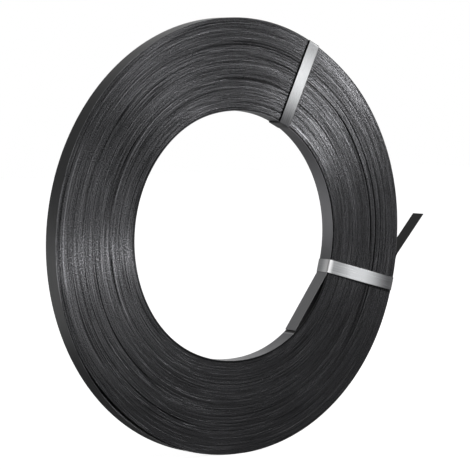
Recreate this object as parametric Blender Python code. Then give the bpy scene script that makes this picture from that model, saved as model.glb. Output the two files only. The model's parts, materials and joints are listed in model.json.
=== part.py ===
"""Steel strapping coil: 19 mm black strap in a ribbon-wound coil, held by two bright steel ties.

Metres, +Z up.  The coil stands on its rim, with its axis along Y and its front towards -Y.
The origin is the middle of the flat facet that it stands on.
Angles are counter-clockwise as seen from the front, from +X, and the strap winds outward that way.
"""
import random
from math import atan2, cos, exp, hypot, pi, radians, sin, sqrt, tau

import bmesh
import bpy
from mathutils import Vector

# Strap
STRAP_WIDTH = 0.019
STRAP_THICKNESS = 0.0005

# Wound pack: the bore sits a little high in it
BORE_RADIUS = 0.150
COIL_RADIUS = 0.2603
BORE_RISE = 0.0021
FACETS = 96

# Where the pack is out of round: the middle, the depth and the reach to each side of each flat
SETTLED_FLAT = (radians(-95.0), 0.0034, radians(30.0))
RIM_FLATS = (
    SETTLED_FLAT,
    (radians(-10.0), 0.0025, radians(19.0)),
    (radians(56.0), 0.0011, radians(10.0)),
)
BORE_FLATS = (
    SETTLED_FLAT,
    (radians(89.0), 0.0018, radians(19.0)),
)

# Groups of turns that stand deeper than their neighbours on both ends
TURN_GROUPS = 10
EDGE_RECESS = 0.0002
GROUP_RELIEF = 0.0006
RELIEF_SEED = 19

# Outermost wrap, which is slack at the lower left: the pack under it has drawn in from it
SLACK_START = radians(-164.0)
SLACK_END = radians(-100.0)
SLACK_GAP = 0.0038
SLACK_STEPS = 16
SLACK_GAP_MIN = 0.0002

# The two corners of the bottom facet lie this near the floor, and are set on it
FOOT_SNAP = 0.0004

# Outer free end, which springs away just above the lower tie
TAIL_ANGLE = radians(-8.5)
TAIL_HEADING = radians(47.0)
TAIL_BEND_RADIUS = 0.016
TAIL_BEND_STEPS = 6
TAIL_STRAIGHT = 0.064

# Inner free end, which runs straight across the bore wall below the lower tie
INNER_ROOT_ANGLE = radians(-19.4)
INNER_TIP_ANGLE = radians(-51.8)
INNER_TIP_CLEARANCE = 0.0005

# How far the root of each free end runs on inside the pack that it is one piece with
TAIL_ROOT = 0.008
INNER_ROOT = 0.0024

# Ties: position round the coil, and how far each is skewed from the radial line there
TIES = {
    "tie_upper": (radians(62.1), radians(1.9)),
    "tie_lower": (radians(-15.4), radians(0.6)),
}
TIE_WIDTH = 0.016
TIE_THICKNESS = 0.0005
TIE_CLEARANCE = 0.0003
TIE_BEND_RADIUS = 0.0004
TIE_BEND_STEPS = 4
TIE_LAP = 0.030
TIE_JOGGLE = 0.0020

# How far to each side of a tie's own angle the pack under it is measured, and in how many steps
TIE_SEAT_ANGLE = radians(8.0)
TIE_SEAT_STEPS = 40

STEP_ANGLE = tau / FACETS
BOTTOM_ANGLE = -pi / 2
HALF_WIDTH = STRAP_WIDTH / 2
BUILD_UP = COIL_RADIUS - BORE_RADIUS
MID_RADIUS = (COIL_RADIUS + BORE_RADIUS) / 2

STRAP_BLACK = (0.035, 0.036, 0.038, 1.0)
TIE_STEEL = (0.62, 0.63, 0.64, 1.0)


def clear_scene():
    for old in list(bpy.data.objects):
        bpy.data.objects.remove(old)


def direction(angle):
    """Unit vector in the coil's plane."""
    return Vector((cos(angle), 0.0, sin(angle)))


def slack_share(angle):
    """How slack the outermost wrap is: 0 where it lies tight, up to 1 in the middle of the slack stretch."""
    around = (angle - SLACK_START) % tau
    stretch = SLACK_END - SLACK_START
    if around >= stretch:
        return 0.0
    return sin(pi * around / stretch) ** 2


def spiral_drop(angle):
    """How far the rim lies inside the coil's radius: one thickness of strap over the last turn."""
    return STRAP_THICKNESS * ((TAIL_ANGLE - angle) % tau) / tau


def flattening(angle, flats):
    """How far the flats draw a round wall in towards the coil's centre at an angle."""
    depth = 0.0
    for middle, most, reach in flats:
        aside = (angle - middle + pi) % tau - pi
        depth += most * exp(-(aside / reach) ** 2)
    return depth


def rim_radius(angle):
    return COIL_RADIUS - spiral_drop(angle) - flattening(angle, RIM_FLATS)


def bore_radius(angle):
    """Distance from the coil's centre to the bore wall, whose own centre is a little higher."""
    across = BORE_RISE * cos(angle)
    round_wall = BORE_RISE * sin(angle) + sqrt(BORE_RADIUS ** 2 - across ** 2)
    return round_wall - flattening(angle, BORE_FLATS)


STAND_HEIGHT = rim_radius(BOTTOM_ANGLE) * cos(STEP_ANGLE / 2)
CENTRE = Vector((0.0, 0.0, STAND_HEIGHT))


def painted(name, colour, metallic, roughness):
    material = bpy.data.materials.new(name)
    material.use_nodes = True
    shader = material.node_tree.nodes["Principled BSDF"]
    shader.inputs["Base Color"].default_value = colour
    shader.inputs["Metallic"].default_value = metallic
    shader.inputs["Roughness"].default_value = roughness
    return material


def add_object(name, bm, material=None):
    """Link the bmesh as a new object, closed and facing out."""
    bmesh.ops.recalc_face_normals(bm, faces=bm.faces)
    mesh = bpy.data.meshes.new(name)
    bm.to_mesh(mesh)
    bm.free()
    mesh.shade_smooth()
    mesh.set_sharp_from_angle(angle=radians(30.0))
    added = bpy.data.objects.new(name, mesh)
    bpy.context.scene.collection.objects.link(added)
    if material:
        mesh.materials.append(material)
    return added


def apply_boolean(target, operand, operation):
    """Join a helper to the target, or cut it away; the helper itself is not part of the coil."""
    operand.hide_render = True
    operand.display_type = "WIRE"
    boolean = target.modifiers.new(operand.name, "BOOLEAN")
    boolean.operation = operation
    boolean.solver = "EXACT"
    boolean.object = operand


def group_profile(rng):
    """One end of the pack, bore to rim: (radius, depth below the strap's edge), in steps."""
    shares = [rng.uniform(0.6, 1.4) for _ in range(TURN_GROUPS)]
    total = sum(shares)
    depths = [EDGE_RECESS + rng.uniform(0.0, GROUP_RELIEF) for _ in shares]
    depths[0] = EDGE_RECESS
    depths[-1] = EDGE_RECESS
    points = []
    reached = 0.0
    for share, depth in zip(shares, depths):
        inner = BORE_RADIUS + BUILD_UP * reached / total
        reached += share
        outer = BORE_RADIUS + BUILD_UP * reached / total
        points.append((inner, depth))
        points.append((outer, depth))
    return points


def wound_pack():
    """The turned body of the coil: its section, with stepped ends, spun round the axis."""
    rng = random.Random(RELIEF_SEED)
    front = group_profile(rng)
    back = group_profile(rng)
    section = [(radius, depth - HALF_WIDTH) for radius, depth in front]
    section += [(radius, HALF_WIDTH - depth) for radius, depth in reversed(back)]

    bm = bmesh.new()
    start = direction(BOTTOM_ANGLE + STEP_ANGLE / 2)
    verts = [bm.verts.new(start * radius + Vector((0.0, y, 0.0))) for radius, y in section]
    edges = [bm.edges.new(pair) for pair in zip(verts, verts[1:] + verts[:1])]
    bmesh.ops.spin(
        bm, geom=verts + edges, cent=(0.0, 0.0, 0.0), axis=(0.0, -1.0, 0.0),
        angle=tau, steps=FACETS, use_merge=True,
    )
    for vert in bm.verts:
        settle(vert)
    return bm


def settle(vert):
    """Move a point of the round pack to its place between the real bore wall and the real rim."""
    share = (hypot(vert.co.x, vert.co.z) - BORE_RADIUS) / BUILD_UP
    angle = atan2(vert.co.z, vert.co.x)
    radius = bore_radius(angle) + (rim_radius(angle) - bore_radius(angle)) * share
    vert.co = CENTRE + direction(angle) * radius + Vector((0.0, vert.co.y, 0.0))
    if vert.co.z < FOOT_SNAP:
        vert.co.z = 0.0


def slack_gap():
    """Cutter for the open gap between the slack wrap and the pack, right through the coil."""
    outer = []
    inner = []
    for step in range(SLACK_STEPS + 1):
        angle = SLACK_START + (SLACK_END - SLACK_START) * step / SLACK_STEPS
        wall = rim_radius(angle) - STRAP_THICKNESS
        depth = SLACK_GAP * slack_share(angle)
        if depth < SLACK_GAP_MIN:
            continue
        outer.append(CENTRE + direction(angle) * wall)
        inner.append(CENTRE + direction(angle) * (wall - depth))
    return prism(outer + inner[::-1], STRAP_WIDTH * 2)


def prism(outline, length):
    """A closed outline in the coil's plane, extruded along Y and centred on the plane."""
    bm = bmesh.new()
    face = bm.faces.new([bm.verts.new(point - Vector((0.0, length / 2, 0.0))) for point in outline])
    side = bmesh.ops.extrude_face_region(bm, geom=[face])
    moved = [item for item in side["geom"] if isinstance(item, bmesh.types.BMVert)]
    bmesh.ops.translate(bm, verts=moved, vec=(0.0, length, 0.0))
    return bm


def strap_along(route):
    """A length of strap on edge, whose middle follows the route."""
    left = []
    right = []
    for index, point in enumerate(route):
        before = route[max(index - 1, 0)]
        after = route[min(index + 1, len(route) - 1)]
        along = (after - before).normalized()
        aside = Vector((-along.z, 0.0, along.x)) * (STRAP_THICKNESS / 2)
        left.append(point + aside)
        right.append(point - aside)
    return prism(left + right[::-1], STRAP_WIDTH)


def tail_route():
    """Outer free end: along the rim, round the bend, then straight out to the tip."""
    route = []
    for angle in (TAIL_ANGLE - TAIL_ROOT / COIL_RADIUS, TAIL_ANGLE):
        route.append(CENTRE + direction(angle) * (rim_radius(angle) - STRAP_THICKNESS))
    heading = TAIL_ANGLE + pi / 2
    turn = heading - TAIL_HEADING
    centre = route[-1] + direction(TAIL_ANGLE) * TAIL_BEND_RADIUS
    for step in range(1, TAIL_BEND_STEPS + 1):
        spoke = TAIL_ANGLE + pi - turn * step / TAIL_BEND_STEPS
        route.append(centre + direction(spoke) * TAIL_BEND_RADIUS)
    route.append(route[-1] + direction(TAIL_HEADING) * TAIL_STRAIGHT)
    return route


def inner_end_route():
    """Inner free end: a straight chord from inside the pack to a tip that nearly meets the wall."""
    tip_radius = bore_radius(INNER_TIP_ANGLE) - INNER_TIP_CLEARANCE - STRAP_THICKNESS / 2
    tip = CENTRE + direction(INNER_TIP_ANGLE) * tip_radius
    root = CENTRE + direction(INNER_ROOT_ANGLE) * bore_radius(INNER_ROOT_ANGLE)
    inward = (root - tip).normalized()
    return [tip, root + inward * INNER_ROOT]


def strap_coil():
    """The whole strap: the wound pack with its slack wrap and both free ends."""
    coil = add_object("strap_coil", wound_pack(), painted("strap_black", STRAP_BLACK, 0.5, 0.4))
    gap = add_object("slack_gap_cutter", slack_gap())
    tail = add_object("outer_end_helper", strap_along(tail_route()))
    inner_end = add_object("inner_end_helper", strap_along(inner_end_route()))
    apply_boolean(coil, gap, "DIFFERENCE")
    apply_boolean(coil, tail, "UNION")
    apply_boolean(coil, inner_end, "UNION")


def rounded_loop(low, high, half_depth, radius):
    """Rounded rectangle as (x, y) points, from x low to x high and y within half_depth."""
    corners = [
        (high - radius, half_depth - radius, 0.0),
        (low + radius, half_depth - radius, pi / 2),
        (low + radius, radius - half_depth, pi),
        (high - radius, radius - half_depth, 3 * pi / 2),
    ]
    points = []
    for x, y, start in corners:
        for step in range(TIE_BEND_STEPS + 1):
            angle = start + pi / 2 * step / TIE_BEND_STEPS
            points.append((x + radius * cos(angle), y + radius * sin(angle)))
    return points


def tie_loops(low, high):
    """Inner and outer outline of a tie, whose ends lap and are spot-welded on the back."""
    half_depth = HALF_WIDTH + TIE_CLEARANCE
    inner = rounded_loop(low, high, half_depth, TIE_BEND_RADIUS)
    grown = TIE_THICKNESS
    outer = rounded_loop(low - grown, high + grown, half_depth + grown, TIE_BEND_RADIUS + grown)
    back = half_depth + grown
    middle = (low + high) / 2
    lap = [
        (middle + TIE_LAP / 2 + TIE_JOGGLE, back),
        (middle + TIE_LAP / 2, back + TIE_THICKNESS),
        (middle - TIE_LAP / 2, back + TIE_THICKNESS),
        (middle - TIE_LAP / 2, back),
    ]
    back_start = TIE_BEND_STEPS + 1
    return inner, outer[:back_start] + lap + outer[back_start:]


def edge_loop(bm, points, z):
    verts = [bm.verts.new((x, y, z)) for x, y in points]
    return [bm.edges.new(pair) for pair in zip(verts, verts[1:] + verts[:1])]


def tie_seat(angle, skew):
    """Nearest and farthest reach of the pack under a tie, along it from the middle of the build-up."""
    seat = direction(angle) * MID_RADIUS
    along = direction(angle + skew)
    across = direction(angle + skew + pi / 2)
    nearest = 0.0
    farthest = 0.0
    for step in range(-TIE_SEAT_STEPS, TIE_SEAT_STEPS + 1):
        spot = angle + TIE_SEAT_ANGLE * step / TIE_SEAT_STEPS
        wall = direction(spot) * bore_radius(spot) * cos(STEP_ANGLE / 2) - seat
        rim = direction(spot) * rim_radius(spot) - seat
        if abs(wall.dot(across)) < TIE_WIDTH / 2 + TIE_CLEARANCE:
            nearest = min(nearest, wall.dot(along))
        if abs(rim.dot(across)) < TIE_WIDTH / 2 + TIE_CLEARANCE:
            farthest = max(farthest, rim.dot(along))
    return nearest, farthest


def tie(name, angle, skew):
    """A flat steel band bent round the section of the pack, closed on itself."""
    nearest, farthest = tie_seat(angle, skew)
    low = nearest - TIE_CLEARANCE
    high = farthest + TIE_CLEARANCE

    bm = bmesh.new()
    inner, outer = tie_loops(low, high)
    start = -TIE_WIDTH / 2
    edges = edge_loop(bm, inner, start) + edge_loop(bm, outer, start)
    band = bmesh.ops.bridge_loops(bm, edges=edges)
    side = bmesh.ops.extrude_face_region(bm, geom=band["faces"])
    moved = [item for item in side["geom"] if isinstance(item, bmesh.types.BMVert)]
    bmesh.ops.translate(bm, verts=moved, vec=(0.0, 0.0, TIE_WIDTH))
    added = add_object(name, bm, painted(name + "_steel", TIE_STEEL, 1.0, 0.35))
    added.location = CENTRE + direction(angle) * MID_RADIUS
    added.rotation_euler = (0.0, -(angle + skew), 0.0)


def main():
    clear_scene()
    strap_coil()
    for name, (angle, skew) in TIES.items():
        tie(name, angle, skew)


main()
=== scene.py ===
"""Looks of a steel strapping coil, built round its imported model.

Metres, +Z up.  The coil stands on its rim with its axis along Y, and its front faces -Y.
Angles are counter-clockwise as seen from the front, from +X, and the strap winds outward that way.
"""
import json
from math import atan2, cos, exp, hypot, pi, radians, sin, sqrt, tau

import bmesh
import bpy
from bpy.props import FloatProperty, FloatVectorProperty, IntProperty, PointerProperty
from mathutils import Matrix, Vector, noise


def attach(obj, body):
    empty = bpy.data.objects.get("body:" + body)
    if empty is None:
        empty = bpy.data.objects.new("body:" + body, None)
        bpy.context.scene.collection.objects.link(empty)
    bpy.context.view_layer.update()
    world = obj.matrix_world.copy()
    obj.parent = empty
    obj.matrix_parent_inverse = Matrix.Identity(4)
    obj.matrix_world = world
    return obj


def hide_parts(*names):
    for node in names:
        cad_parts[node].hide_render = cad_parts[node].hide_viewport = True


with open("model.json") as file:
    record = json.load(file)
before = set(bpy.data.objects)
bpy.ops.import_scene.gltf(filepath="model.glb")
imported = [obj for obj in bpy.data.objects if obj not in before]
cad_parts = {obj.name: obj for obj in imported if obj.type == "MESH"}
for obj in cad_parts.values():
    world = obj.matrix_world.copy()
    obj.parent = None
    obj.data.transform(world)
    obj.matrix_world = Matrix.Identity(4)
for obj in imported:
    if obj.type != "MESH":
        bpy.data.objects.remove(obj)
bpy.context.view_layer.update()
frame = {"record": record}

bl_info = {
    "name": "Strapping Coil",
    "version": (1, 0, 0),
    "blender": (4, 5, 0),
    "location": "3D View > Sidebar > Strapping Coil",
    "description": "A ribbon-wound coil of steel strapping, held by two bent steel ties",
    "category": "Object",
}

# Places round the coil
SLACK_START = radians(-164.0)
SLACK_END = radians(-100.0)
TAIL_ANGLE = radians(-8.5)
TAIL_HEADING = radians(47.0)
INNER_ROOT_ANGLE = radians(-19.4)
INNER_TIP_ANGLE = radians(-51.8)
INNER_TIP_GAP = 0.0005
BOTTOM_ANGLE = -pi / 2

# Each tie's angle round the coil, and how far it is turned off the way to the coil's centre
TIES = {
    "tie_upper": (radians(62.1), radians(1.9)),
    "tie_lower": (radians(-15.4), radians(0.6)),
}

# The pack's own shape: how far the bore's centre lies above the rim's, how far the slack wrap stands off,
# and where the pack is out of round, as the middle, the depth and the reach of each flat
BORE_RISE = 0.0021
SLACK_GAP = 0.0038
SETTLED_FLAT = (radians(-95.0), 0.0034, radians(30.0))
RIM_FLATS = (
    SETTLED_FLAT,
    (radians(-10.0), 0.0025, radians(19.0)),
    (radians(56.0), 0.0011, radians(10.0)),
)
BORE_FLATS = (
    SETTLED_FLAT,
    (radians(89.0), 0.0018, radians(19.0)),
)

# The angle of one flat facet of the rim, on the lowest of which the coil stands
FACET = tau / 96

# Between pieces that lie on each other
LAY_GAP = 0.00002

# How far a strip's edges are rounded, and how far in from them their wear begins and is full
EDGE_ROUNDING = 0.00012
EDGE_WEAR = (0.0005, 0.0001)

# Turns, as they show on the two ends of the pack: steps round the coil, rings that share the turns, the
# points across one turn with their shares of its drop, and how far its edge drops outward
SPIN_STEPS = 192
RING_COUNT = 4
TURN_POINTS = ((0.04, 0.0), (0.5, 0.2), (0.96, 1.0))
EDGE_DROP = 0.00018

# How far a turn lies in from the strap's own edge, and the waves on that: how far, over how many
# radians, over how many turns, and a shift that keeps each wave apart
TURN_RECESS = 0.00028
RECESS_WAVES = (
    (0.00012, 1.4, 9.3, 0.0),
    (0.00010, 0.6, 2.7, 7.0),
    (0.00010, 0.4, 0.73, 15.0),
)

# The shift that keeps the waves of the front and the back apart
SIDE_SHIFT = 50

# Turns that lie deep: the wave that picks them, from which value on, and how deep they lie past it
SUNK_WAVE = (0.9, 1.3, 25.0)
SUNK_FROM = 0.36
SUNK_DEPTH = 0.0015

# How the lean of a turn's edge varies, as waves, and its least and most
LEAN_WAVES = (
    (0.5, 0.25, 0.57, 41.0),
    (0.2, 0.4, 3.1, 55.0),
)
LEAN_RANGE = (0.15, 2.2)

# How rough the turns lie, and how scuffed their colour looks, half way up, and how much more at the top;
# the colour's scuffs are wear, and their growth towards the top is painted highlight
RELIEF_SCUFF = (0.6, 0.4)
TONE_SCUFF_AND_HIGHLIGHT = (0.7, 0.3)

# Turns on the front that lie deep (+) or stand proud (-): turn, reach in turns, from, to, depth.  The
# depth fades over MARK_FADE at both ends, and sideways over MARK_SPREAD reaches
MARKED_TURNS = (
    (1.5, 2.6, radians(-20.0), radians(50.0), 0.0009),
    (126.5, 1.0, radians(-8.0), radians(66.0), 0.0011),
    (143.5, 1.0, radians(-4.0), radians(52.0), 0.0010),
    (74.0, 2.6, radians(62.0), radians(108.0), 0.0008),
    (128.0, 1.0, radians(60.0), radians(86.0), 0.0008),
    (154.0, 0.8, radians(58.0), radians(104.0), 0.0008),
    (161.0, 0.8, radians(58.0), radians(96.0), 0.0009),
    (149.0, 2.0, radians(92.0), radians(126.0), 0.0005),
    (142.0, 1.0, radians(132.0), radians(160.0), 0.0008),
    (76.0, 1.0, radians(132.0), radians(158.0), 0.0006),
    (66.0, 1.0, radians(176.0), radians(204.0), 0.0009),
    (110.0, 1.0, radians(186.0), radians(236.0), 0.0008),
    (140.0, 1.0, radians(180.0), radians(208.0), 0.0008),
    (206.0, 1.0, radians(150.0), radians(204.0), 0.0009),
    (60.0, 1.0, radians(172.0), radians(214.0), -0.0004),
    (197.0, 1.2, radians(166.0), radians(196.0), -0.0003),
    (142.5, 1.0, radians(-32.0), radians(4.0), 0.0009),
    (134.0, 0.8, radians(-48.0), radians(-12.0), 0.0007),
    (158.0, 0.8, radians(-60.0), radians(-24.0), 0.0006),
    (195.0, 1.6, radians(30.0), radians(60.0), -0.0003),
    (12.0, 1.4, radians(34.0), radians(60.0), -0.0003),
    (189.0, 0.8, radians(156.0), radians(188.0), -0.0003),
    (213.0, 0.8, radians(160.0), radians(184.0), -0.0003),
    (70.0, 0.8, radians(148.0), radians(176.0), -0.0003),
    (144.0, 0.8, radians(166.0), radians(190.0), -0.0003),
    (97.0, 0.8, radians(164.0), radians(190.0), -0.0003),
    (58.0, 0.8, radians(166.0), radians(198.0), -0.0003),
)
MARK_FADE = radians(10.0)
MARK_SPREAD = 2.0

# Patterns along the turns on the ends: length in radians, width in metres, and a shift that keeps them
# apart
THREAD = (0.45, 0.0009, 0.0)
SHORT_THREAD = (0.12, 0.0010, 15.0)
HAIR = (0.7, 0.0013, 75.0)
BAND = (0.3, 0.0024, 30.0)
PATCH = (0.4, 0.016, 60.0)
GROOVE = (0.9, 0.0016, 90.0)
GRAIN = 0.0013

# Colours that the finishes, the painted highlights and the painted shade blend to
BLACK = (0.0, 0.0, 0.0, 1.0)
WHITE = (1.0, 1.0, 1.0, 1.0)
EDGE_DARK = (0.012, 0.012, 0.013, 1.0)
CHORD_PALE = (0.38, 0.38, 0.39, 1.0)
STEEL_DULL_AND_SHADE = (0.08, 0.08, 0.083, 1.0)
STEEL_PAINTED_HIGHLIGHT = (0.92, 0.92, 0.92, 1.0)

# Single turns painted lighter (+) as painted highlights, or darker (-) as painted shade: build-up from
# the bore wall, from, to, how much.  A line is full over the LINE_FULL share of its length, and fades out
# sideways between LINE_SIDES
LINE_FULL = 0.6
LINE_SIDES = (0.0004, 0.0013)
PAINTED_LIGHT_TURNS = (
    (0.0073, radians(36.0), radians(60.0), 0.2),
    (0.0336, radians(8.0), radians(46.0), 0.4),
    (0.0990, radians(36.0), radians(60.0), 0.6),
    (0.0329, radians(130.0), radians(168.0), 0.3),
    (0.0977, radians(150.0), radians(194.0), 0.6),
    (0.1078, radians(160.0), radians(196.0), 0.6),
    (0.0300, radians(174.0), radians(212.0), 0.5),
    (0.0435, radians(170.0), radians(206.0), 0.4),
    (0.0632, radians(-16.0), radians(84.0), -0.7),
    (0.0718, radians(-24.0), radians(50.0), -0.7),
    (0.0774, radians(28.0), radians(104.0), -0.5),
    (0.0808, radians(-4.0), radians(104.0), -0.5),
    (0.0322, radians(28.0), radians(62.0), -0.4),
    (0.0378, radians(60.0), radians(104.0), -0.4),
    (0.0371, radians(138.0), radians(176.0), -0.4),
    (0.0710, radians(132.0), radians(180.0), -0.3),
    (0.0325, radians(182.0), radians(204.0), -0.4),
    (0.0554, radians(180.0), radians(238.0), -0.5),
    (0.1038, radians(160.0), radians(204.0), -0.4),
)

# The innermost turns lie a little deep all round, and carry painted shade where they are nearest to the
# bore
INNER_SUNK = 0.0004
INNER_SUNK_TURNS = 2.5
INNER_SHADE = (0.0016, 0.0026)

# The outermost turns are dark at the left
OUTER_DARK = (0.1010, 0.1030)

# A chord is the plane of a free end in the bore: its angle, and its distance from the coil's centre.
# This one lies outside the coil, for a face that has no such end
NO_CHORD = (0.0, 1.0)

# Each tie's gaps and bends, and its lap: how far before it the outer end lifts, over what run, the gap
TIE_GAP = 0.0003
TIE_FRONT_GAP = 0.0007
TIE_BEND_RADIUS = 0.0020
TIE_LAP_LIFT = 0.0020
TIE_LAP_RISE = 0.0015
TIE_LAP_GAP = 0.00003

# Steps in the bends of the ties and of the outer end
TIE_BEND_STEPS = 8
TAIL_BEND_STEPS = 10

# Painted highlight and shade on each tie: where along its front the painted highlight rises and fades,
# from its middle outward, and how bright the end by the bore, the leg in the bore and the bend between
# them are painted
TIE_PAINTED_LIGHT = {
    "tie_upper": {
        "rise": (-0.055, 0.005), "fade": (0.005, 0.080), "start": 0.0, "leg": 0.0, "bend": 0.0},
    "tie_lower": {
        "rise": (-0.045, -0.012), "fade": (-0.002, 0.048), "start": 0.45, "leg": 1.0, "bend": 1.0},
}

# How far from that corner the painted highlight on the bend reaches, along the leg and along the front
TIE_HIGHLIGHT_LEG = 0.014
TIE_HIGHLIGHT_FRONT = 0.007

# How far back in the bore a tie's leg darkens with painted shade, and by how much
LEG_SHADE_LENGTH = 0.02
LEG_SHADE = 0.35

# The side of a tie on which the pack is dark beside it, 1 counter-clockwise or -1 clockwise, and how
# much that shade widens for each metre outward.  It ends between two distances from the tie's middle line
TIE_SHADES = {"tie_upper": (1, 0.0), "tie_lower": (-1, 0.02)}
TIE_SHADE_END = (0.0086, 0.0098)

# How far to both sides of a tie its seat on the pack is looked for, and in how many steps
SEAT_ANGLE = radians(8.0)
SEAT_STEPS = 40

# How far the camera stands to the right of the line to the coil's middle, and above it
CAMERA_ASIDE = (0.00376, 0.00339)

# Lamps: azimuth from the front round to the right, elevation, distance with width and height, and power
SOFT_BOX = (2.5, 0.8, 0.8)
LOW_STRIP = (1.15, 0.5, 0.14)
LAMPS = {
    "lamp_right": (radians(75.0), radians(15.0), SOFT_BOX, 6.3),
    "lamp_right_front": (radians(60.0), radians(15.0), SOFT_BOX, 16.5),
    "lamp_front_right": (radians(30.0), radians(15.0), SOFT_BOX, 5.2),
    "lamp_front_high": (radians(20.0), radians(30.0), SOFT_BOX, 3.4),
    "lamp_front": (radians(-15.0), radians(15.0), SOFT_BOX, 2.0),
    "lamp_front_low": (radians(-12.0), radians(-8.0), LOW_STRIP, 1.15),
    "lamp_left_low": (radians(-115.0), radians(-8.0), LOW_STRIP, 0.7),
}


def colour_of(slot):
    """The colour that the record gives for one of its material slots."""
    found = next(m for m in frame["record"]["materials"] if m["slot"] == slot)
    return tuple(found["base_color"]) + (1.0,)


class StrapSizes(bpy.types.PropertyGroup):
    """The strap and the pack that it is wound into"""

    width: FloatProperty(
        name="Width", description="Width of the strap", default=0.019, unit="LENGTH")
    thickness: FloatProperty(
        name="Thickness", description="Thickness of the strap", default=0.0005, unit="LENGTH",
        precision=4)
    bore_radius: FloatProperty(
        name="Bore radius", description="Radius of the open bore", default=0.150, unit="LENGTH")
    coil_radius: FloatProperty(
        name="Coil radius", description="Radius of the outermost turn", default=0.2603, unit="LENGTH")
    turns: IntProperty(
        name="Turns", description="Turns between the innermost and the outermost one", default=216,
        min=8)
    tail_length: FloatProperty(
        name="Outer end", description="Length of the outer end past its bend", default=0.064,
        unit="LENGTH")
    lacquer: FloatVectorProperty(
        name="Lacquer", description="Colour of the strap's black finish", subtype="COLOR", size=4,
        min=0.0, max=1.0, default=colour_of("strap_black"))
    worn: FloatVectorProperty(
        name="Worn edge", description="Colour of the strap's edges where the finish has worn",
        subtype="COLOR", size=4, min=0.0, max=1.0, default=(0.20, 0.20, 0.21, 1.0))


class TieSizes(bpy.types.PropertyGroup):
    """The steel bands bent round the pack"""

    width: FloatProperty(
        name="Width", description="Width of a tie", default=0.016, unit="LENGTH")
    thickness: FloatProperty(
        name="Thickness", description="Thickness of a tie", default=0.0005, unit="LENGTH",
        precision=4)
    lap: FloatProperty(
        name="Lap", description="How far a tie's ends lie over each other", default=0.030, unit="LENGTH")
    steel: FloatVectorProperty(
        name="Steel", description="Colour of the bright steel", subtype="COLOR", size=4,
        min=0.0, max=1.0, default=colour_of("tie_steel"))


class StageSizes(bpy.types.PropertyGroup):
    """Floor, light and camera"""

    floor_width: FloatProperty(
        name="Floor", description="Width of the floor", default=12.0, unit="LENGTH")
    floor_colour: FloatVectorProperty(
        name="Floor colour", description="Colour of the floor", subtype="COLOR", size=4,
        min=0.0, max=1.0, default=(0.72, 0.72, 0.72, 1.0))
    camera_azimuth: FloatProperty(
        name="Azimuth", description="Where the camera stands, from the front round to the right",
        default=radians(-39.01), subtype="ANGLE")
    camera_elevation: FloatProperty(
        name="Elevation", description="How high the camera stands over the coil's middle",
        default=radians(3.98), subtype="ANGLE")
    camera_distance: FloatProperty(
        name="Distance", description="From the camera to the coil's middle", default=2.849,
        unit="LENGTH")
    camera_lens: FloatProperty(
        name="Lens", description="Focal length in millimetres", default=184.36, unit="CAMERA")


def direction(angle):
    """Unit vector in the coil's plane."""
    return Vector((cos(angle), 0.0, sin(angle)))


def slack_share(angle):
    """How slack the outermost turn is: 0 where it is tight, and 1 in the middle of the slack stretch."""
    around = (angle - SLACK_START) % tau
    stretch = SLACK_END - SLACK_START
    if around >= stretch:
        return 0.0
    return sin(pi * around / stretch) ** 2


def wound_share(angle, start):
    """How far round the coil an angle is from the start, from 0 to 1."""
    return ((angle - start) % tau) / tau


def flattening(angle, flats):
    """How far the flats draw a round wall in towards the coil's centre at an angle."""
    depth = 0.0
    for middle, most, reach in flats:
        aside = (angle - middle + pi) % tau - pi
        depth += most * exp(-(aside / reach) ** 2)
    return depth


def rim_radius(strap, angle):
    """Outside of the outermost turn, which climbs by its own thickness."""
    climb = strap.thickness * (1 - wound_share(angle, TAIL_ANGLE))
    return strap.coil_radius - climb - flattening(angle, RIM_FLATS)


def bore_radius(strap, angle):
    """From the coil's centre to the bore wall, whose own centre is a little higher."""
    across = BORE_RISE * cos(angle)
    round_wall = BORE_RISE * sin(angle) + sqrt(strap.bore_radius ** 2 - across ** 2)
    return round_wall - flattening(angle, BORE_FLATS)


def coil_centre(strap):
    """The coil's middle, over the facet that it stands on."""
    return Vector((0.0, 0.0, rim_radius(strap, BOTTOM_ANGLE) * cos(FACET / 2)))


class Value:
    """A socket of a shader on which Python's arithmetic works: each operation adds its Math node."""

    def __init__(self, shader, socket):
        self.shader = shader
        self.socket = socket

    def math(self, operation, *values):
        return self.shader.add("ShaderNodeMath", {"operation": operation}, dict(enumerate(values)))

    def __add__(self, other):
        return self.math("ADD", self, other)

    def __radd__(self, other):
        return self.math("ADD", other, self)

    def __sub__(self, other):
        return self.math("SUBTRACT", self, other)

    def __rsub__(self, other):
        return self.math("SUBTRACT", other, self)

    def __mul__(self, other):
        return self.math("MULTIPLY", self, other)

    def __rmul__(self, other):
        return self.math("MULTIPLY", other, self)

    def __truediv__(self, other):
        return self.math("DIVIDE", self, other)

    def __pow__(self, other):
        return self.math("POWER", self, other)

    def __abs__(self):
        return self.math("ABSOLUTE", self)

    def larger(self, other):
        return self.math("MAXIMUM", self, other)


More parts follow.
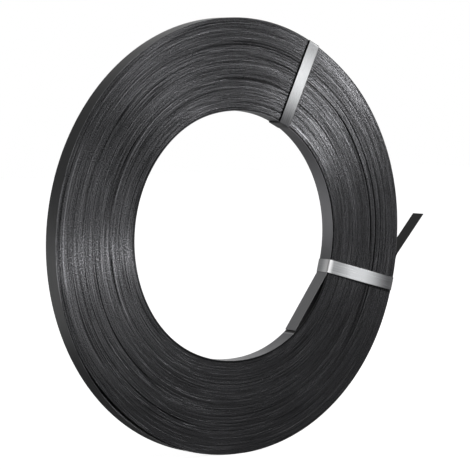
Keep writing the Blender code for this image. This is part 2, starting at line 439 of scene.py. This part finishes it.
class Shader:
    """The nodes of one material or of the world."""

    def __init__(self, owner):
        owner.use_nodes = True
        self.tree = owner.node_tree
        self.tree.nodes.clear()

    def add(self, kind, settings, inputs, output=0):
        """A new node: its settings are set first, then the values or links of its sockets."""
        node = self.tree.nodes.new(kind)
        for name, setting in settings.items():
            setattr(node, name, setting)
        for name, given in inputs.items():
            if isinstance(given, Value):
                self.tree.links.new(given.socket, node.inputs[name])
            else:
                node.inputs[name].default_value = given
        return Value(self, node.outputs[output]) if node.outputs else None

    def vector(self, x, y, z):
        return self.add("ShaderNodeCombineXYZ", {}, {"X": x, "Y": y, "Z": z})

    def blend(self, factor, first, second):
        """From the first colour to the second."""
        return self.add(
            "ShaderNodeMix", {"data_type": "RGBA"}, {"Factor": factor, 6: first, 7: second}, output=2)

    def step(self, value, low, high):
        """0 below low, 1 above high, and smooth between them."""
        return self.add(
            "ShaderNodeMapRange", {"interpolation_type": "SMOOTHSTEP"},
            {"Value": value, "From Min": low, "From Max": high})

    def noise(self, place, detail=2.0, roughness=0.5):
        return self.add(
            "ShaderNodeTexNoise", {"noise_dimensions": "3D"},
            {"Vector": place, "Scale": 1.0, "Detail": detail, "Roughness": roughness})

    def bump(self, height, strength, distance):
        return self.add(
            "ShaderNodeBump", {}, {"Strength": strength, "Distance": distance, "Height": height},
            output="Normal")

    def along_edges(self, across, width):
        """1 along both edges of a strip and 0 between them, by the way across from its middle line."""
        start, full = EDGE_WEAR
        return self.step(abs(across), width / 2 - start, width / 2 - full)

    def placed(self, centre, turned=(0.0, 0.0, 0.0)):
        """Object coordinates seen from a centre, as three values."""
        whole = self.add("ShaderNodeTexCoord", {}, {}, output="Object")
        moved = self.add(
            "ShaderNodeMapping", {"vector_type": "TEXTURE"},
            {"Vector": whole, "Location": tuple(centre), "Rotation": tuple(turned)})
        return [self.add("ShaderNodeSeparateXYZ", {}, {"Vector": moved}, output=axis) for axis in "XYZ"]

    def surface(self, inputs):
        shade = self.add("ShaderNodeBsdfPrincipled", {}, inputs)
        self.add("ShaderNodeOutputMaterial", {}, {"Surface": shade})


class Streaks:
    """Patterns that run along the turns of the coil."""

    def __init__(self, shader, centre):
        self.shader = shader
        x, self.depth, z = shader.placed(centre)
        self.radius = (x * x + z * z) ** 0.5
        self.across = x / self.radius
        self.upward = z / self.radius
        self.lane = shader.add("ShaderNodeAttribute", {"attribute_name": "lane"}, {}, output="Fac")

    def toward(self, angle):
        """How far the way from the coil's centre points to an angle: 1 there, and -1 on the far side."""
        return self.across * cos(angle) + self.upward * sin(angle)

    def run(self, length, width, shift, detail=2.0):
        """Noise drawn out along the turns: its length in radians, its width in metres."""
        place = self.shader.vector(
            self.across * (1 / length), self.upward * (1 / length), self.lane * (1 / width) + shift)
        return self.shader.noise(place, detail)

    def line(self, lane, start, end):
        """1 along a single turn, which fades out towards both ends of its stretch."""
        middle = (start + end) / 2
        reach = (end - start) / 2
        along = self.shader.step(self.toward(middle), cos(reach), cos(reach * LINE_FULL))
        return along * (1 - self.shader.step(abs(self.lane - lane), *LINE_SIDES))

    def grain(self, size):
        """Speckle of one size in every direction."""
        fine = 1 / size
        place = self.shader.vector(
            self.across * self.radius * fine, self.depth * fine, self.upward * self.radius * fine)
        return self.shader.noise(place, 0.0)


def beside_tie(strap, shader, streaks, name):
    """1 on the pack in the narrow shade along one side of a tie, and 0 elsewhere."""
    angle, skew = TIES[name]
    side, widening = TIE_SHADES[name]
    aside = streaks.toward(angle + skew + pi / 2) * streaks.radius
    aside = (aside + sin(skew) * (strap.coil_radius + strap.bore_radius) / 2) * side
    near_half = shader.step(streaks.toward(angle), 0.0, 0.1)
    past_middle = shader.step(aside, 0.0, 0.001)
    past_shade = shader.step(aside - streaks.lane * widening, *TIE_SHADE_END)
    return near_half * past_middle * (1 - past_shade)


def strap_edges(strap):
    """The ends of the pack: hundreds of lacquered strap edges, with painted highlights along some and
    painted shade along others.
    """
    material = bpy.data.materials.new("strap_edges")
    shader = Shader(material)
    streaks = Streaks(shader, coil_centre(strap))
    thread = streaks.run(*THREAD, detail=1.0)
    short = streaks.run(*SHORT_THREAD, detail=1.0)
    hair = shader.step(streaks.run(*HAIR, detail=0.0), 0.66, 0.74)
    band = streaks.run(*BAND, detail=1.0)
    patch = streaks.run(*PATCH)
    grain = streaks.grain(GRAIN)
    shaded_groove = shader.step(streaks.run(*GROOVE, detail=0.0), 0.67, 0.73)
    # The scuffs are wear; their growth towards the top is painted highlight
    half_way_up, more = TONE_SCUFF_AND_HIGHLIGHT
    scuffed = streaks.upward * more + half_way_up

    tone = (thread - 0.5) * 1.6 + (short - 0.5) * 0.4 + hair * 0.3 + (band - 0.5) * 0.2
    tone = (tone + (grain - 0.5) * 1.3) * scuffed + (patch - 0.5) * 0.2
    # Painted highlights (+) and painted shade (-) along single turns
    for lane, start, end, most in PAINTED_LIGHT_TURNS:
        tone = tone + streaks.line(lane, start, end) * most
    colour = shader.blend(tone + 0.35, EDGE_DARK, strap.worn)

    innermost = 1 - shader.step(streaks.lane, *INNER_SHADE)
    outermost = shader.step(streaks.lane, *OUTER_DARK) * shader.step(0 - streaks.across, 0.5, 0.9)
    # Painted shade in the grooves, along the innermost turns by the bore and beside the ties; the
    # outermost turns are darker at the left
    shade = (shaded_groove * 0.7).larger(innermost * 0.8).larger(outermost * 0.3)
    for name in TIES:
        shade = shade.larger(beside_tie(strap, shader, streaks, name))
    colour = shader.blend(shade, colour, EDGE_DARK)

    height = (thread + band * 0.5 + hair * 0.5 + grain * 0.5) * scuffed - shaded_groove
    gloss = (thread - 0.5) * 0.8 + hair * 0.1 + (band - 0.5) * 0.1 + (grain - 0.5) * 0.8
    gloss = gloss * scuffed + (patch - 0.5) * 0.2
    shader.surface({
        "Base Color": colour,
        "Metallic": 0.85,
        "Roughness": 0.33 - gloss,
        "Normal": shader.bump(height, 0.6, 0.0003),
    })
    return material


def strap_face(strap, name, centre, bare, metallic, edge_wear, chord=NO_CHORD):
    """The strap's broad face: satin black lacquer, rubbed along its length, more so the more bare it is.

    The free end in the bore lies in a plane, the chord, and is palest.  Past that plane the face carries
    painted shade, and the free end outside the coil is painted dark.
    """
    material = bpy.data.materials.new(name)
    shader = Shader(material)
    streaks = Streaks(shader, centre)
    along = shader.noise(shader.vector(
        streaks.across * 3.0, streaks.depth * 1500.0, streaks.upward * 3.0), 3.0, 0.6)
    cloud = shader.noise(shader.vector(
        streaks.across * 9.0, streaks.depth * 90.0, streaks.upward * 9.0), 3.0, 0.55)
    worn = shader.along_edges(streaks.depth, strap.width) * shader.step(cloud, 0.35, 0.6) * edge_wear

    angle, distance = chord
    thick = strap.thickness
    reach = streaks.toward(angle) * streaks.radius
    on_chord = shader.step(reach, distance - thick * 2, distance - thick * 1.5)
    within_chord = 1 - shader.step(reach, distance - thick * 0.6, distance - thick * 0.2)
    within_coil = 1 - shader.step(streaks.radius, strap.coil_radius, strap.coil_radius + 0.002)
    open_face = within_chord * within_coil

    rubbed = ((along - 0.4) * 0.25 + (cloud - 0.45) * 0.2 + bare) * open_face
    colour = shader.blend(rubbed, strap.lacquer, strap.worn)
    colour = shader.blend(on_chord, colour, CHORD_PALE)
    # Painted shade past the chord plane, and the free end outside the coil painted dark
    colour = shader.blend(open_face, EDGE_DARK, colour)
    colour = shader.blend(worn * 0.8, colour, strap.worn)
    shader.surface({
        "Base Color": colour,
        "Metallic": (worn * 0.4 + metallic) * open_face,
        "Specular IOR Level": 0.4,
        "Roughness": 0.36 + (along - 0.5) * 0.15 + (cloud - 0.5) * 0.2,
        "Normal": shader.bump(along + cloud, 0.15, 0.0001),
    })
    return material


def brushed_steel(ties, name, centre, turned, painted_light, corner):
    """Bright steel band with brush lines along it, with a painted highlight along its front that fades to
    painted shade towards both ends.

    It lies along x, with its front at negative y.  The bend at its front corner by the bore can carry a
    painted highlight.
    """
    material = bpy.data.materials.new(name)
    shader = Shader(material)
    x, y, z = shader.placed(centre, turned)
    lines = shader.noise(shader.vector(x * 9.0, y * 9.0, z * 2600.0), 1.0, 0.5)
    bands = shader.noise(shader.vector(x * 6.0, y * 6.0, z * 420.0), 1.0, 0.5)
    # Painted highlight along the front, falling to painted shade towards both ends
    start = painted_light["start"]
    painted_highlight = shader.step(x, *painted_light["rise"]) * (1 - start) + start
    painted_highlight = painted_highlight * (1 - shader.step(x, *painted_light["fade"]))
    corner_x, corner_y = corner
    front = shader.step(corner_y - y, -TIE_BEND_RADIUS, 0.0)
    # Painted light on the leg in the bore, with painted shade deeper in
    leg_painted_light = painted_light["leg"] * (1 - shader.step(y - corner_y, 0.0, LEG_SHADE_LENGTH) * LEG_SHADE)
    past_bend = shader.step(x - corner_x, TIE_BEND_RADIUS, TIE_BEND_RADIUS * 2)
    leg = 1 - (1 - front) * (1 - past_bend) * (1 - leg_painted_light)
    edge = shader.along_edges(z, ties.width)
    tone = ((painted_highlight - 1) * front + 1) * leg
    tone = tone - (lines - 0.5) * 0.3 - (bands - 0.5) * 0.25 - edge * 0.15
    colour = shader.blend(tone, STEEL_DULL_AND_SHADE, ties.steel)

    # Painted highlight on the bend by the bore
    bend = shader.step(corner_y - y, -TIE_HIGHLIGHT_LEG, -TIE_BEND_RADIUS)
    past_highlight = shader.step(x - corner_x, TIE_BEND_RADIUS, TIE_BEND_RADIUS + TIE_HIGHLIGHT_FRONT)
    bend = bend * (1 - past_highlight) * painted_light["bend"]
    colour = shader.blend(bend, colour, STEEL_PAINTED_HIGHLIGHT)
    shader.surface({
        "Base Color": colour,
        "Metallic": 1.0,
        "Roughness": 0.30 + (lines - 0.5) * 0.12 + (bands - 0.5) * 0.12,
        "Normal": shader.bump(lines, 0.15, 0.0001),
    })
    return material


def add_piece(name, bm, material, node, sharp=radians(20.0)):
    """Link the finished bmesh as a piece that rides on the part and stands for its CAD node."""
    bmesh.ops.recalc_face_normals(bm, faces=bm.faces)
    mesh = bpy.data.meshes.new(name)
    bm.to_mesh(mesh)
    bm.free()
    mesh.shade_smooth()
    mesh.set_sharp_from_angle(angle=sharp)
    mesh.materials.append(material)
    piece = bpy.data.objects.new(name, mesh)
    bpy.context.scene.collection.objects.link(piece)
    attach(piece, "root")
    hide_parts(node)


class Strip:
    """A strip of steel drawn as a line of edges, which runs straight and turns, then gets its width."""

    def __init__(self, start, heading, axis):
        self.bm = bmesh.new()
        self.heading = Vector(heading).normalized()
        self.axis = Vector(axis)
        self.line = [self.bm.verts.new(start)]

    def run(self, length, steps=1):
        """Go straight on."""
        for _ in range(steps):
            made = bmesh.ops.extrude_vert_indiv(self.bm, verts=[self.line[-1]])
            self.line += made["verts"]
            bmesh.ops.translate(self.bm, verts=made["verts"], vec=self.heading * (length / steps))

    def turn(self, radius, angle, steps):
        """Turn left about the axis, or right for a negative angle."""
        side = self.axis.cross(self.heading) * (radius if angle > 0 else -radius)
        before = set(self.bm.verts)
        bmesh.ops.spin(
            self.bm, geom=[self.line[-1]], cent=self.line[-1].co + side, axis=self.axis,
            angle=angle, steps=steps, use_merge=False)
        made = [vert for vert in self.bm.verts if vert not in before]
        self.line += made
        self.heading = Matrix.Rotation(angle, 3, self.axis) @ self.heading

    def widen(self, width, thickness):
        """Give the line its width along the axis, its thickness to one side and rounded edges."""
        bm = self.bm
        sheet = bmesh.ops.extrude_edge_only(bm, edges=bm.edges[:])
        moved = [item for item in sheet["geom"] if isinstance(item, bmesh.types.BMVert)]
        bmesh.ops.translate(bm, verts=moved, vec=self.axis * width)
        bmesh.ops.translate(bm, verts=bm.verts[:], vec=self.axis * (-width / 2))
        bmesh.ops.recalc_face_normals(bm, faces=bm.faces)
        bmesh.ops.solidify(bm, geom=bm.faces[:], thickness=thickness)
        bmesh.ops.recalc_face_normals(bm, faces=bm.faces)
        bm.normal_update()
        corners = [edge for edge in bm.edges if edge.calc_face_angle(0.0) > radians(60.0)]
        bmesh.ops.bevel(
            bm, geom=corners, offset=EDGE_ROUNDING, offset_type="OFFSET", segments=2, profile=0.5,
            affect="EDGES", material=-1)
        return bm


class OBJECT_OT_wound_pack(bpy.types.Operator):
    """Spin the turns of the pack, ring by ring, with the relief of their edges"""

    bl_idname = "object.strap_wound_pack"
    bl_label = "Wound pack"

    def execute(self, context):
        strap = context.scene.strap_sizes
        material = strap_edges(strap)
        each = strap.turns // RING_COUNT
        for ring in range(RING_COUNT):
            name = "strap_turns_%d" % (ring + 1)
            self.add_ring(strap, material, name, ring * each, (ring + 1) * each)
        return {"FINISHED"}

    def add_ring(self, strap, material, name, first, last):
        """One closed ring of turns, spun from its section and then laid between the pack's walls.

        The section goes outward along the front and returns along the back.  Until it is laid, a point's
        radius is 1 more than its turn, and its y only tells the front from the back.
        """
        start = direction(BOTTOM_ANGLE + FACET / 2)
        section = []
        for side in (-1, 1):
            row = [
                (turn + across, drop) for turn in range(first, last) for across, drop in TURN_POINTS]
            row[0] = (first + LAY_GAP / strap.thickness / 2, 0.0)
            row[-1] = (last - LAY_GAP / strap.thickness / 2, 1.0)
            section += [(side, turn, drop) for turn, drop in row[::-side]]
        bm = bmesh.new()
        drop_layer = bm.verts.layers.float.new("drop")
        verts = []
        for side, turn, drop in section:
            vert = bm.verts.new(start * (1 + turn) + Vector((0.0, side, 0.0)))
            vert[drop_layer] = drop
            verts.append(vert)
        edges = [bm.edges.new(pair) for pair in zip(verts, verts[1:] + verts[:1])]
        bmesh.ops.spin(
            bm, geom=verts + edges, cent=(0.0, 0.0, 0.0), axis=(0.0, -1.0, 0.0),
            angle=tau, steps=SPIN_STEPS, use_merge=True)
        lane_layer = bm.verts.layers.float.new("lane")
        centre = coil_centre(strap)
        walls = {}
        lay = {}
        for vert in bm.verts:
            turn = hypot(vert.co.x, vert.co.z) - 1
            angle = atan2(vert.co.z, vert.co.x)
            spoke = round(angle / tau * SPIN_STEPS)
            side = 1 if vert.co.y > 0 else -1
            place = (int(turn), spoke, side)
            if spoke not in walls:
                walls[spoke] = self.walls(strap, angle)
            if place not in lay:
                lay[place] = self.lay_of(min(int(turn), last - 1), angle, side)
            inner, outer = walls[spoke]
            recess, tilt = lay[place]
            vert[lane_layer] = turn * strap.thickness
            vert.co = centre + direction(angle) * (inner + (outer - inner) * turn / strap.turns)
            vert.co.y = side * (strap.width / 2 - recess - vert[drop_layer] * tilt)
            vert.co.z = max(vert.co.z, strap.thickness + LAY_GAP)
        add_piece(name, bm, material, "strap_coil", sharp=radians(80.0))

    def walls(self, strap, angle):
        """Where the pack begins and ends at an angle, between the innermost and the outermost turn."""
        inner = strap.thickness * (1 + wound_share(angle, INNER_ROOT_ANGLE)) + LAY_GAP
        outer = strap.thickness + LAY_GAP + SLACK_GAP * slack_share(angle)
        return bore_radius(strap, angle) + inner, rim_radius(strap, angle) - outer

    def lay_of(self, turn, angle, side):
        """How far a turn lies in from the strap's edge there, and how much its edge leans outward."""
        def wave(length, turns, shift):
            across = turn / turns + shift + side * SIDE_SHIFT
            return noise.noise(Vector((cos(angle) / length, sin(angle) / length, across)))

        recess = TURN_RECESS
        for most, *shape in RECESS_WAVES:
            recess += most * wave(*shape)
        recess += SUNK_DEPTH * max(wave(*SUNK_WAVE) - SUNK_FROM, 0.0)
        if side < 0:
            recess += self.marked(turn, angle) + INNER_SUNK * exp(-(turn / INNER_SUNK_TURNS) ** 2)
        half_way_up, more = RELIEF_SCUFF
        scuffed = half_way_up + more * sin(angle)
        lean = 1.0 + scuffed * sum(most * wave(*shape) for most, *shape in LEAN_WAVES)
        least, most = LEAN_RANGE
        return max(recess, 0.0), EDGE_DROP * min(max(lean, least), most)

    def marked(self, turn, angle):
        """Depth of the turns that lie deep or stand proud over a stretch of their way round."""
        depth = 0.0
        for middle, reach, start, end, most in MARKED_TURNS:
            across = abs(turn + 0.5 - middle) / reach
            if across < MARK_SPREAD:
                into = (angle - start) % tau
                left = end - start - into
                if left > 0.0:
                    depth += most * exp(-across ** 2) * min(1.0, into / MARK_FADE, left / MARK_FADE)
        return depth


class OBJECT_OT_outer_turn(bpy.types.Operator):
    """Lay the outermost turn round the pack and spring its end away"""

    bl_idname = "object.strap_outer_turn"
    bl_label = "Outer turn and end"

    bend_radius: FloatProperty(
        name="Bend radius", description="Radius of the bend in the outer end", default=0.016,
        unit="LENGTH")

    def execute(self, context):
        strap = context.scene.strap_sizes
        centre = coil_centre(strap)
        lay = strap.coil_radius
        strip = Strip(direction(TAIL_ANGLE) * lay, direction(TAIL_ANGLE + pi / 2), (0.0, -1.0, 0.0))
        strip.turn(lay, tau, SPIN_STEPS)
        for step, vert in enumerate(strip.line):
            share = step / SPIN_STEPS
            angle = TAIL_ANGLE + tau * share
            radius = lay - strap.thickness * (1 - share) - flattening(angle, RIM_FLATS)
            vert.co = centre + direction(angle) * radius
        strip.turn(self.bend_radius, TAIL_HEADING - TAIL_ANGLE - pi / 2, TAIL_BEND_STEPS)
        strip.run(strap.tail_length)
        bmesh.ops.delete(strip.bm, geom=strip.line[:1], context="VERTS")
        bm = strip.widen(strap.width, strap.thickness)
        for vert in bm.verts:
            vert.co.z = max(vert.co.z, 0.0)
        material = strap_face(strap, "strap_outside", centre, 0.0, 0.1, 1.0)
        add_piece("strap_outer_turn", bm, material, "strap_coil")
        return {"FINISHED"}


class OBJECT_OT_inner_turn(bpy.types.Operator):
    """Lay the innermost turn against the pack, with its free end straight across the bore wall"""

    bl_idname = "object.strap_inner_turn"
    bl_label = "Inner turn and end"

    def execute(self, context):
        strap = context.scene.strap_sizes
        centre = coil_centre(strap)
        tip_reach = bore_radius(strap, INNER_TIP_ANGLE) - INNER_TIP_GAP
        root_reach = bore_radius(strap, INNER_ROOT_ANGLE) + strap.thickness
        tip = centre + direction(INNER_TIP_ANGLE) * tip_reach
        root = centre + direction(INNER_ROOT_ANGLE) * root_reach
        strip = Strip(tip, root - tip, (0.0, -1.0, 0.0))
        strip.run((root - tip).length, 4)
        begun = len(strip.line)
        strip.line[-1].co = direction(INNER_ROOT_ANGLE) * strap.bore_radius
        strip.heading = direction(INNER_ROOT_ANGLE + pi / 2)
        strip.turn(strap.bore_radius, tau, SPIN_STEPS)
        for step, vert in enumerate(strip.line[begun - 1:]):
            share = step / SPIN_STEPS
            angle = INNER_ROOT_ANGLE + tau * share
            radius = bore_radius(strap, angle) + strap.thickness * (1 + share)
            vert.co = centre + direction(angle) * radius
        bm = strip.widen(strap.width, strap.thickness)
        outward = (tip - root).cross(Vector((0.0, 1.0, 0.0))).normalized()
        chord = (atan2(outward.z, outward.x), (root - centre).dot(outward))
        material = strap_face(strap, "strap_inside", centre, 1.0, 0.5, 0.0, chord)
        add_piece("strap_inner_turn", bm, material, "strap_coil")
        return {"FINISHED"}


class OBJECT_OT_strap_ties(bpy.types.Operator):
    """Bend the two steel ties round the section of the pack, with their ends lapped on the back"""

    bl_idname = "object.strap_ties"
    bl_label = "Ties"

    def execute(self, context):
        strap = context.scene.strap_sizes
        ties = context.scene.tie_sizes
        for name, (angle, skew) in TIES.items():
            self.add_tie(strap, ties, name, angle, skew)
        return {"FINISHED"}

    def add_tie(self, strap, ties, name, angle, skew):
        """One band, bent along x with its front at negative y, and then turned to its place."""
        middle = (strap.coil_radius + strap.bore_radius) / 2
        nearest, farthest = self.seat(strap, ties, angle, skew)
        off = TIE_GAP + ties.thickness
        low = nearest - off
        high = farthest + off
        half = strap.width / 2 + off
        front = strap.width / 2 + TIE_FRONT_GAP + ties.thickness
        bend = TIE_BEND_RADIUS
        centre = (low + high) / 2

        strip = Strip((centre + ties.lap / 2, half, 0.0), (-1.0, 0.0, 0.0), (0.0, 0.0, 1.0))
        for length, steps in (
                (centre + ties.lap / 2 - low - bend, 6),
                (half + front - 2 * bend, 3),
                (high - low - 2 * bend, 14),
                (half + front - 2 * bend, 3)):
            strip.run(length, steps)
            strip.turn(bend, pi / 2, TIE_BEND_STEPS)
        strip.run(high - bend - centre - ties.lap / 2 - TIE_LAP_LIFT, 3)
        top = half + ties.thickness + TIE_LAP_GAP
        for x in (centre + ties.lap / 2 + TIE_LAP_LIFT - TIE_LAP_RISE, centre - ties.lap / 2):
            made = bmesh.ops.extrude_vert_indiv(strip.bm, verts=[strip.line[-1]])
            strip.line += made["verts"]
            made["verts"][0].co = Vector((x, top, 0.0))
        bm = strip.widen(ties.width, ties.thickness)
        turned = Matrix.Rotation(-(angle + skew), 4, "Y")
        place = Matrix.Translation(coil_centre(strap) + direction(angle) * middle) @ turned
        bmesh.ops.transform(bm, matrix=place, verts=bm.verts[:])
        material = brushed_steel(
            ties, name + "_steel", place.translation, turned.to_euler(), TIE_PAINTED_LIGHT[name], (low, -front))
        add_piece(name + "_band", bm, material, name)

    def seat(self, strap, ties, angle, skew):
        """Nearest and farthest reach of the pack under a tie, along it from the build-up's middle."""
        middle = direction(angle) * (strap.coil_radius + strap.bore_radius) / 2
        along = direction(angle + skew)
        across = direction(angle + skew + pi / 2)
        spots = [angle + SEAT_ANGLE * (step / SEAT_STEPS - 1) for step in range(2 * SEAT_STEPS + 1)]
        walls = [direction(spot) * bore_radius(strap, spot) * cos(FACET / 2) - middle for spot in spots]
        rims = [direction(spot) * rim_radius(strap, spot) - middle for spot in spots]
        reach = ties.width / 2 + TIE_GAP
        nearest = min(place.dot(along) for place in walls if abs(place.dot(across)) < reach)
        farthest = max(place.dot(along) for place in rims if abs(place.dot(across)) < reach)
        return nearest, farthest


class OBJECT_OT_coil_stage(bpy.types.Operator):
    """Set the floor, the soft light and the camera"""

    bl_idname = "object.strap_stage"
    bl_label = "Stage"

    def execute(self, context):
        stage = context.scene.stage_sizes
        centre = coil_centre(context.scene.strap_sizes)
        self.add_floor(stage)
        self.add_world()
        for name, lamp in LAMPS.items():
            self.add_lamp(centre, name, *lamp)
        self.add_camera(stage, centre)
        context.scene.view_settings.view_transform = "Standard"
        return {"FINISHED"}

    def seen(self, shader):
        """Two values: 1 for rays to the camera, and 1 for rays in gloss and through glass."""
        to_camera, in_gloss, through_glass = [
            shader.add("ShaderNodeLightPath", {}, {}, output=name)
            for name in ("Is Camera Ray", "Is Glossy Ray", "Is Transmission Ray")
        ]
        return to_camera, in_gloss.larger(through_glass)

    def add_floor(self, stage):
        """A pale floor, which shows in gloss where it lies beyond the coil and at the front left."""
        bm = bmesh.new()
        bmesh.ops.create_grid(bm, x_segments=2, y_segments=2, size=stage.floor_width / 2)
        mesh = bpy.data.meshes.new("floor")
        bm.to_mesh(mesh)
        bm.free()
        material = bpy.data.materials.new("floor")
        shader = Shader(material)
        to_camera, in_gloss = self.seen(shader)
        x, y, _ = shader.placed((0.0, 0.0, 0.0))
        in_front = shader.step(0 - y, -0.1, 0.3)
        beyond = shader.step((x * x + y * y) ** 0.5 - in_front * 0.6, 0.28, 0.62)
        back_right = shader.step(x, -0.10, 0.15) * shader.step(y, 0.0, 0.3)
        right = shader.step(x, 0.3, 0.8) * shader.step(x * 0.5 + y, -0.1, 0.3)
        front_left = shader.step(0 - y, 0.2, 0.42) * (1 - shader.step(abs(x + 0.14), 0.15, 0.35))
        mirrored = beyond * (1 - back_right.larger(right) * 0.9) * 0.75
        mirrored = (mirrored + in_front * 0.06).larger(front_left * 0.5)
        far = shader.step((x * x + y * y) ** 0.5, 0.6, 2.0)
        glow = (to_camera * (far * 0.08 + 0.92)).larger(in_gloss * mirrored)
        shader.surface({
            "Base Color": stage.floor_colour,
            "Roughness": 0.9,
            "Emission Color": shader.blend(glow, BLACK, WHITE),
            "Emission Strength": 1.0,
        })
        mesh.materials.append(material)
        floor = bpy.data.objects.new("floor", mesh)
        bpy.context.scene.collection.objects.link(floor)

    def add_world(self):
        """White to the camera, dim all round, and paler in gloss along the horizon and at the back."""
        world = bpy.data.worlds.new("studio")
        bpy.context.scene.world = world
        shader = Shader(world)
        to_camera, in_gloss = self.seen(shader)
        toward = shader.add("ShaderNodeTexCoord", {}, {}, output="Generated")
        x, y, z = [
            shader.add("ShaderNodeSeparateXYZ", {}, {"Vector": toward}, output=axis) for axis in "XYZ"]
        back = shader.step(y, 0.0, 0.4) * (shader.step(x, -0.1, 0.3) * 0.45 + 0.22)
        horizon = 1 - shader.step(z, 0.0, 0.16)
        strength = to_camera.larger(in_gloss * (horizon * 0.4 + back) + 0.105)
        light = shader.add("ShaderNodeBackground", {}, {"Color": shader.blend(strength, BLACK, WHITE)})
        shader.add("ShaderNodeOutputWorld", {}, {"Surface": light})

    def add_lamp(self, centre, name, azimuth, elevation, size, power):
        distance, width, height = size
        lamp = bpy.data.lights.new(name, "AREA")
        lamp.energy = power
        lamp.shape = "RECTANGLE"
        lamp.size = width
        lamp.size_y = height
        holder = bpy.data.objects.new(name, lamp)
        bpy.context.scene.collection.objects.link(holder)
        turned = Matrix.Rotation(azimuth, 4, "Z") @ Matrix.Rotation(pi / 2 - elevation, 4, "X")
        aside = Matrix.Translation((0.0, 0.0, distance))
        holder.matrix_world = Matrix.Translation(centre) @ turned @ aside

    def add_camera(self, stage, centre):
        camera = bpy.data.cameras.new("camera")
        camera.sensor_width = 36.0
        camera.lens = stage.camera_lens
        holder = bpy.data.objects.new("camera", camera)
        bpy.context.scene.collection.objects.link(holder)
        turned = Matrix.Rotation(stage.camera_azimuth, 4, "Z")
        turned = turned @ Matrix.Rotation(pi / 2 - stage.camera_elevation, 4, "X")
        right, above = CAMERA_ASIDE
        aside = Matrix.Translation((right, above, stage.camera_distance))
        holder.matrix_world = Matrix.Translation(centre) @ turned @ aside
        bpy.context.scene.camera = holder


class VIEW3D_PT_strapping_coil(bpy.types.Panel):
    """Sizes, colours and pieces of the strapping coil"""

    bl_idname = "VIEW3D_PT_strapping_coil"
    bl_label = "Strapping Coil"
    bl_space_type = "VIEW_3D"
    bl_region_type = "UI"
    bl_category = "Strapping Coil"

    def draw(self, context):
        for group_name, operators in SECTIONS:
            box = self.layout.box()
            group = getattr(context.scene, group_name)
            for name in group.__annotations__:
                box.prop(group, name)
            for operator in operators:
                box.operator(operator.bl_idname)


PROPERTY_GROUPS = {"strap_sizes": StrapSizes, "tie_sizes": TieSizes, "stage_sizes": StageSizes}
SECTIONS = [
    ("strap_sizes", [OBJECT_OT_wound_pack, OBJECT_OT_outer_turn, OBJECT_OT_inner_turn]),
    ("tie_sizes", [OBJECT_OT_strap_ties]),
    ("stage_sizes", [OBJECT_OT_coil_stage]),
]
OPERATORS = [operator for _, operators in SECTIONS for operator in operators]


def register():
    for name, group in PROPERTY_GROUPS.items():
        bpy.utils.register_class(group)
        setattr(bpy.types.Scene, name, PointerProperty(type=group))
    for operator in OPERATORS:
        bpy.utils.register_class(operator)
    bpy.utils.register_class(VIEW3D_PT_strapping_coil)


def unregister():
    bpy.utils.unregister_class(VIEW3D_PT_strapping_coil)
    for operator in reversed(OPERATORS):
        bpy.utils.unregister_class(operator)
    for name, group in PROPERTY_GROUPS.items():
        delattr(bpy.types.Scene, name)
        bpy.utils.unregister_class(group)


def main():
    register()
    bpy.ops.object.strap_wound_pack()
    bpy.ops.object.strap_outer_turn()
    bpy.ops.object.strap_inner_turn()
    bpy.ops.object.strap_ties()
    bpy.ops.object.strap_stage()


if __name__ == "__main__":
    main()
